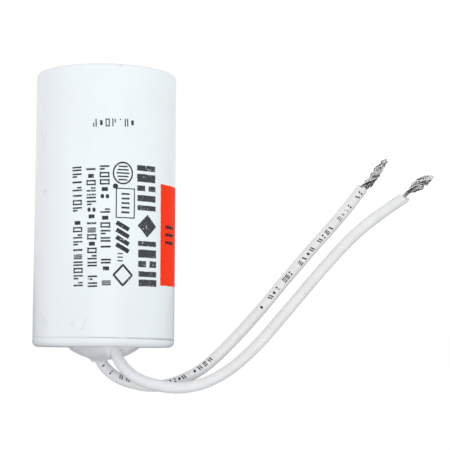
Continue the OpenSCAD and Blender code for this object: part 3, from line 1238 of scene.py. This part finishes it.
@dataclass(frozen=True)
class CanPrint:
    """All the generic print on the can."""

    radius: float = CAN_RADIUS
    lean: float = 0.028

    def code_row(self) -> list[Stamp]:
        """The thin row of small marks near the closed end."""
        return row("tobs.po", -1.75, 13.7, 1.9, 1.0, 1.52, Run.ROUND, -0.035)

    def rating_rows(self) -> list[Stamp]:
        """Three rows of small marks that run up the can."""
        return [
            *row("psitibs obtsiepbst", -6.75, 25.1, 2.35, 1.15, 1.62, Run.UP, self.lean),
            *row("iobtpsdoiebobtp sp", -3.2, 25.2, 2.25, 1.2, 1.62, Run.UP, self.lean),
            *row("sbbod tobspi po e", 0.0, 24.8, 2.35, 1.2, 1.72, Run.UP, self.lean),
        ]

    def signs(self) -> list[Stamp]:
        """A column of plain signs: a slotted ring, a dot, a long frame, bars and a diamond."""
        stamps = [Stamp(Mark.RING, 5.65, 26.6, 5.0, 5.5)]
        stamps += [Stamp(Mark.BAR, 5.65, 26.6 + step, 3.2 - abs(step) * 0.6, 0.34)
                   for step in (-1.6, -0.8, 0.0, 0.8, 1.6)]
        stamps.append(Stamp(Mark.DISC, 3.85, 29.8, 1.25, 1.25))
        for across in (4.1, 8.6):
            stamps.append(Stamp(Mark.BAR, across, 33.8, 0.26, 7.2))
        for along in (30.3, 37.3):
            stamps.append(Stamp(Mark.BAR, 6.35, along, 4.5, 0.26))
        stamps += [Stamp(Mark.BAR, 6.35, 31.6 + 1.1 * k, 2.0, 0.42) for k in range(5)]
        stamps += [Stamp(Mark.BAR, 5.75, 39.3 + 1.75 * k, 3.5, 1.05, 0.5) for k in range(4)]
        stamps += [Stamp(Mark.BAR, 5.2, 45.9 + 0.85 * k, 1.3, 0.28) for k in range(3)]
        half = 2.45
        for across in (-1, 1):
            for along in (-1, 1):
                stamps.append(Stamp(Mark.BAR, 5.9 + across * half * 0.46,
                                    51.0 + along * half * 0.5, half * 1.42, 0.5,
                                    across * along * -0.83))
        return stamps

    def bold_blocks(self) -> list[Stamp]:
        """A column of heavy plain blocks."""
        blocks = (
            (0.0, 25.1, 5.4, 1.35), (0.0, 27.5, 5.4, 1.9),
            (-1.6, 30.0, 2.2, 1.3), (1.6, 30.0, 2.2, 1.3), (0.0, 32.4, 5.4, 1.5),
            (0.0, 34.7, 5.4, 1.2), (0.0, 43.3, 5.4, 1.2),
            (0.0, 45.7, 5.4, 1.9), (-1.6, 48.2, 2.2, 1.5), (1.6, 48.2, 2.2, 1.5),
            (0.0, 50.6, 5.4, 1.3), (0.0, 52.7, 5.4, 1.6),
        )
        stamps = [Stamp(Mark.BAR, 11.9 + across + (along - 25) * self.lean, along, width, tall)
                  for across, along, width, tall in blocks]
        stamps.append(Stamp(Mark.BAR, 12.3, 39.0, 3.9, 3.9, math.pi / 4))
        return stamps

    def build(self) -> None:
        """Makes every layer of print."""
        grey = PrintInk("thin_grey_ink", (0.030, 0.030, 0.038), gaps=0.0).make()
        black = PrintInk("bold_black_ink", (0.045, 0.047, 0.060), gaps=0.1).make()
        orange = PrintInk("orange_ink", (0.98, 0.036, 0.004), bare=(0.96, 0.044, 0.008),
                          gaps=0.1, grain=0.0009, shine=0.06).make()
        stain = PrintInk("field_ink", (0.055, 0.012, 0.014), bare=(0.30, 0.03, 0.02),
                         gaps=0.0, shine=0.1).make()
        field = (Stamp(Mark.BAR, 23.6, 40.7, 13.6, 24.7, -0.006),)
        marks = tuple(Stamp(Mark.BAR, 21.2, 38.7 + 1.9 * k, 4.6, 0.75) for k in range(3))
        layers = (
            InkLayer("code_marks", tuple(self.code_row()), grey, ragged=0.00005),
            InkLayer("rating_marks", tuple(self.rating_rows()), grey, band=0.24),
            InkLayer("sign_marks", tuple(self.signs()), grey, band=0.07),
            InkLayer("bold_marks", tuple(self.bold_blocks()), black, ragged=0.00012,
                     columns=20, rows=10, band=0.2),
            InkLayer("colour_field", field, orange, thick=0.000016, ragged=0.00022,
                     columns=60, rows=90),
            InkLayer("field_marks", marks, stain, thick=0.00004),
        )
        for layer in layers:
            fit(layer.on_can(self.radius), None, None)


# The lead's signs about their own middles: a dot, one and two leaning bars, two dots and
# three bars.
LEAD_SIGNS: tuple[tuple[Stamp, ...], ...] = (
    (Stamp(Mark.DISC, 0, 0, 0.62, 0.8),),
    (Stamp(Mark.BAR, 0, 0, 0.36, 1.25, -0.35),),
    tuple(Stamp(Mark.BAR, side, 0, 0.3, 1.2, -0.35) for side in (-0.3, 0.3)),
    tuple(Stamp(Mark.DISC, 0, side, 0.5, 0.48) for side in (-0.36, 0.36)),
    tuple(Stamp(Mark.BAR, 0, side, 0.95, 0.28) for side in (-0.46, 0, 0.46)),
)


@dataclass(frozen=True)
class LeadPrint:
    """Small marks along one lead, in groups: start, place round the lead, pitch and number."""

    groups: tuple[tuple[float, float, float, int], ...] = (
        (5.0, 0.5, 1.0, 1), (7.0, 0.0, 1.0, 1), (9.7, -0.25, 1.0, 1), (12.6, -0.6, 1.9, 2),
        (25.7, -0.5, 1.17, 4), (32.3, -0.5, 1.6, 4), (55.4, -0.2, 1.0, 1),
        (58.8, -0.1, 1.38, 3), (64.3, -0.1, 1.1, 3), (70.1, 0.16, 1.47, 4),
        (77.5, 0.16, 1.37, 4), (84.9, 0.26, 1.31, 4), (91.9, 0.4, 1.3, 2),
    )
    seed: int = 11

    def stamps(self) -> list[Stamp]:
        """Every sign of every group, drawn at random."""
        draw = np.random.default_rng(self.seed)
        places = [(start + k * pitch, around) for start, around, pitch, number in self.groups
                  for k in range(number)]
        return [replace(part, across=part.across + ahead, along=part.along + around)
                for ahead, around in places
                for part in LEAD_SIGNS[draw.integers(0, len(LEAD_SIGNS))]]

    def build(self, line: np.ndarray) -> None:
        """Wraps the marks along the lead."""
        ink = PrintInk("lead_ink", (0.03, 0.03, 0.035), gaps=0.1).make()
        layer = InkLayer("lead_a_marks", tuple(self.stamps()), ink, thick=0.000015,
                         ragged=0.00008, columns=4, rows=6, band=0.28)
        fit(layer.on_lead(line, WIRE_RADIUS), None, None)


# ---------------------------------------------------------------------------------------
# Can, resin and the pieces inside
# ---------------------------------------------------------------------------------------


@dataclass(frozen=True)
class ResinMound:
    """The resin that stands proud of the lid and climbs the leads."""

    radius: float = 0.0090
    height: float = 0.0030
    ball: float = 0.0150
    back: float = 0.0017
    climb: float = 0.0010
    reach: float = 0.0009
    lift: float = 0.00006
    lump: float = 0.00005
    sunk: float = 0.0003
    rings: int = 64
    spokes: int = 144

    def _climb(self, x: np.ndarray, y: np.ndarray, line: np.ndarray) -> np.ndarray:
        """How far the resin stands up against one lead at each place."""
        low = line[line[:, 2] < LID_FACE + 0.0016]
        near = np.min(np.hypot(x[..., None] - low[:, 0], y[..., None] - low[:, 1]), axis=-1)
        gap = np.clip(near - WIRE_RADIUS * 0.95, 0, None)
        return self.climb * np.exp(-gap / self.reach)

    def build(self, rear: np.ndarray, front: np.ndarray, resin: bpy.types.Material) -> None:
        """Makes the mound as one closed piece.

        Args:
            rear: the centre line of the lead that comes out of its middle.
            front: the centre line of the lead that comes out through its edge.
            resin: its material.
        """
        angle = np.linspace(0, math.tau, self.spokes, endpoint=False)
        edge = self.radius * (1 + 0.012 * np.sin(3 * angle + 0.5)
                              + 0.010 * np.sin(7 * angle + 2.0)
                              + 0.006 * np.sin(13 * angle))
        share = np.linspace(0, 1, self.rings + 1)[1:] ** 0.9
        radius = share[:, None] * edge[None]
        x, y = radius * np.cos(angle), radius * np.sin(angle) + self.back
        fall = self.ball - self.height
        dome = np.sqrt(self.ball ** 2 - (share[:, None] * self.radius) ** 2) - fall
        lumps = (np.sin(x / 0.0011 + 1) * np.sin(y / 0.0013)
                 + 0.6 * np.sin(x / 0.0005 + y / 0.0007 + 2)) * self.lump
        rise = dome + self.lift + lumps * (1 - share[:, None] ** 6)
        beside = np.clip((x - front[4, 0]) / WIRE_RADIUS, 0, 1)
        rise = rise + self._climb(x, y, rear) + self._climb(x, y, front) * 1.3 * beside
        rise *= np.clip((1 - share[:, None]) * 14, 0, 1) ** 0.5
        z = LID_FACE + rise
        top = np.stack([x, y, z], -1).reshape(-1, 3)
        crown = np.array([[0.0, self.back, float(z[0].mean())]])
        floor = LID_FACE - self.sunk
        foot = np.stack([edge * np.cos(angle), edge * np.sin(angle) + self.back,
                         np.full_like(angle, floor)], -1)
        heart = np.array([[0.0, self.back, floor]])
        vertices = np.concatenate([crown, top, foot, heart])
        count, base = self.spokes, 1 + self.rings * self.spokes
        faces = ring_faces(self.rings + 1, count, first=1, inside=True)
        for j in range(count):
            k = (j + 1) % count
            faces.append((0, 1 + j, 1 + k))
            faces.append((len(vertices) - 1, base + k, base + j))
        fit(make_piece("resin_mound", vertices, faces), resin, "resin")


@dataclass(frozen=True)
class Casing:
    """The can, its lid and the resin inside."""

    smudges: tuple[Scuff, ...] = (
        Scuff(-15.8, 30.6, 0.8, 0.30), Scuff(-15.0, 62.1, 0.9, 0.22),
        Scuff(-6.1, 62.7, 0.6, 0.30), Scuff(4.8, 0.6, 0.22, 0.7),
    )
    scratches: tuple[Scuff, ...] = (
        Scuff(-18.07, 16.94, 0.16, 0.16, (0.53, -1.29)),
        Scuff(-16.42, 17.15, 0.17, 0.30, (0.80, -1.13)),
        Scuff(-17.05, 17.69, 0.40, 0.12, (0.18, 1.75)),
        Scuff(-16.59, 17.45, 0.12, 0.22, (-0.23, 0.64)),
        Scuff(-2.69, 60.88, 0.16, 0.15, (-0.11, 1.18)),
        Scuff(-2.80, 62.06, 0.14, 0.18, (-0.44, 1.06)),
        Scuff(-3.24, 63.12, 0.11, 0.20, (-0.49, 0.66)),
        Scuff(-3.73, 63.79, 0.18, 0.50),
    )

    def dress(self) -> None:
        """Gives the can, lid and resin their finishes."""
        can = MouldedPlastic("can_plastic", smudges=self.smudges,
                             scratches=self.scratches).make()
        # The lid's low tone paints shade over the front of the lid.
        lid = MouldedPlastic("lid_plastic", low=(0.745, 0.788, 0.812), roughness=0.30).make()
        dress("case_cup", can)
        dress("lid", lid)
        dress("potting_resin", PourResin("fill_resin").make())


@dataclass(frozen=True)
class FilmElement:
    """The wound film element and its joints, all buried in the resin."""

    film_lines: float = 0.0004
    wrap_lines: float = 0.0003
    core_lines: float = 0.0006

    def dress(self) -> None:
        """Gives every hidden piece its finish."""
        film = PlainFilm("metallised_film", (0.62, 0.64, 0.66), self.film_lines, 0.2).make()
        wrap = PlainFilm("wrap_film", (0.70, 0.66, 0.52), self.wrap_lines, 0.3).make()
        core = PlainFilm("core_plastic", (0.82, 0.82, 0.80), self.core_lines, 0.4).make()
        zinc = Metal("sprayed_zinc", (0.56, 0.57, 0.58), (0.30, 0.31, 0.32), 0.5, 0.0005,
                     0.00012).make()
        solder = Metal("solder", (0.72, 0.73, 0.74), (0.45, 0.46, 0.47), 0.25, 0.001).make()
        tail = Metal("tail_copper", (0.66, 0.66, 0.66), (0.42, 0.40, 0.37), 0.3,
                     0.0008).make()
        dress("film_winding", film)
        dress("winding_wrap", wrap)
        dress("core_tube", core)
        for end in ("top", "bottom"):
            dress(f"end_spray_{end}", zinc)
            dress(f"solder_joint_{end}", solder)
        for letter in ("a", "b"):
            dress(f"inner_tail_{letter}", tail)


# ---------------------------------------------------------------------------------------
# Studio
# ---------------------------------------------------------------------------------------


@dataclass(frozen=True)
class Viewpoint:
    """The camera: level with the lid, a little to one side, and rolled half a turn."""

    place: Point = (-0.02997, -0.350, 0.07013)
    pitch: float = 0.0933
    roll: float = -0.0055
    lens: float = 112.53
    sensor: float = 36.0

    def make(self) -> None:
        """Places the camera."""
        forward = Vector((0.0, math.cos(self.pitch), -math.sin(self.pitch)))
        level = Vector((-1.0, 0.0, 0.0))
        plumb = forward.cross(level)
        right = level * math.cos(self.roll) + plumb * math.sin(self.roll)
        down = forward.cross(right)
        data = bpy.data.cameras.new("camera")
        data.lens, data.sensor_width = self.lens, self.sensor
        data.clip_start, data.clip_end = 0.01, 30.0
        camera = bpy.data.objects.new("camera", data)
        turn = Matrix((right, -down, -forward)).transposed()
        camera.matrix_world = Matrix.Translation(self.place) @ turn.to_4x4()
        bpy.context.scene.collection.objects.link(camera)
        bpy.context.scene.camera = camera


@dataclass(frozen=True)
class Studio:
    """Pale floor, far backdrop and soft light."""

    half: float = 6.0
    bend: float = 2.0
    wall: float = 9.0
    steps: int = 12
    sides: int = 96
    sky: float = 0.50
    shown: float = 1.0
    key: float = 1.9

    def _floor(self) -> bpy.types.Object:
        """A round floor that bends up into a wall a long way off."""
        rings = [(self.half, 0.0)]
        for step in range(1, self.steps + 1):
            bend = step / self.steps * math.pi / 2
            rings.append((self.half + math.sin(bend) * self.bend,
                          self.bend - math.cos(bend) * self.bend))
        rings.append((self.half + self.bend, self.wall))
        count = self.sides
        angle = np.linspace(0, math.tau, count, endpoint=False)
        vertices = np.concatenate([*(np.stack([radius * np.cos(angle),
                                               radius * np.sin(angle),
                                               np.full(count, height)], -1)
                                     for radius, height in rings), np.zeros((1, 3))])
        faces = ring_faces(len(rings), count, inside=True)
        faces += [(len(vertices) - 1, j, (j + 1) % count) for j in range(count)]
        floor = make_piece("floor", vertices, faces)
        floor.data.materials.append(StudioWhite("studio_white").make())
        return floor

    def _lamp(self, name: str, place: Point, size: float, power: float) -> None:
        """Adds a soft square lamp that faces the can."""
        data = bpy.data.lights.new(name, "AREA")
        data.shape, data.size, data.energy = "SQUARE", size, power
        lamp = bpy.data.objects.new(name, data)
        lamp.location = place
        aim = Vector((-0.02, 0.0, 0.04)) - Vector(place)
        lamp.rotation_euler = aim.to_track_quat("-Z", "Y").to_euler()
        bpy.context.scene.collection.objects.link(lamp)

    def build(self) -> None:
        """Makes the floor, the sky and the lamp."""
        self._floor()
        world = bpy.data.worlds.new("sky")
        world.use_nodes = True
        sky = NodeTree(world.node_tree)
        lit = sky.node("ShaderNodeBackground", None,
                       {"Color": (0.97, 0.985, 1.0), "Strength": self.sky})
        plain = sky.node("ShaderNodeBackground", None,
                         {"Color": (1.0, 1.0, 1.0), "Strength": self.shown})
        seen = sky.node("ShaderNodeLightPath", None, None, "Is Camera Ray")
        mixed = sky.node("ShaderNodeMixShader", None, {0: seen, 1: lit, 2: plain})
        sky.node("ShaderNodeOutputWorld", None, {"Surface": mixed})
        bpy.context.scene.world = world
        self._lamp("key", (-0.12, -0.95, 0.05), 0.7, self.key)
        view = bpy.context.scene.view_settings
        view.view_transform = "Standard"
        view.look = "None"


def main() -> None:
    """Builds the camera, the cords and then the rest."""
    logging.basicConfig(level=logging.INFO, format="%(name)s %(message)s")
    Viewpoint().make()
    vinyl = SoftVinyl("white_vinyl").make()
    # The near-black second tone of the strands is painted shade and painted dark reflection.
    copper = Metal("tinned_strands", (0.84, 0.84, 0.83), (0.06, 0.06, 0.06), 0.20, 0.0011,
                   0.00003, split=(0.36, 0.52), apart=0.45).make()
    lead_a = Lead("a", ROUTE_A, BURIED_A, exit=(0.0013, 0.0046, 0.0707), length=0.0898,
                  cut=Cut.RAGGED,
                  strands=StrandSizes(length=0.0096, neck=0.00082, swell=0.00010,
                                      tip=0.00042, turns=1.2, wander=0.0006, kink=0.0006,
                                      seed=3, neck_end=0.05,
                                      lean=(-0.00040, 0.0, 0.00030)))
    lead_b = Lead("b", ROUTE_B, BURIED_B, exit=(-0.0033, -0.0057, 0.0687), length=0.0946,
                  cut=Cut.SLANTED,
                  strands=StrandSizes(length=0.0090, neck=0.00045, swell=0.00075,
                                      tip=0.00060, turns=0.9, wander=0.0010, kink=0.0008,
                                      seed=8, neck_end=0.33,
                                      lean=(0.00015, 0.0, -0.00060)))
    line_a = lead_a.build(vinyl, copper)
    line_b = lead_b.build(vinyl, copper)
    LeadPrint().build(line_a)
    Casing().dress()
    FilmElement().dress()
    ResinMound().build(line_a, line_b, PourResin("mound_resin").make())
    CanPrint().build()
    Studio().build()


if __name__ == "__main__":
    main()
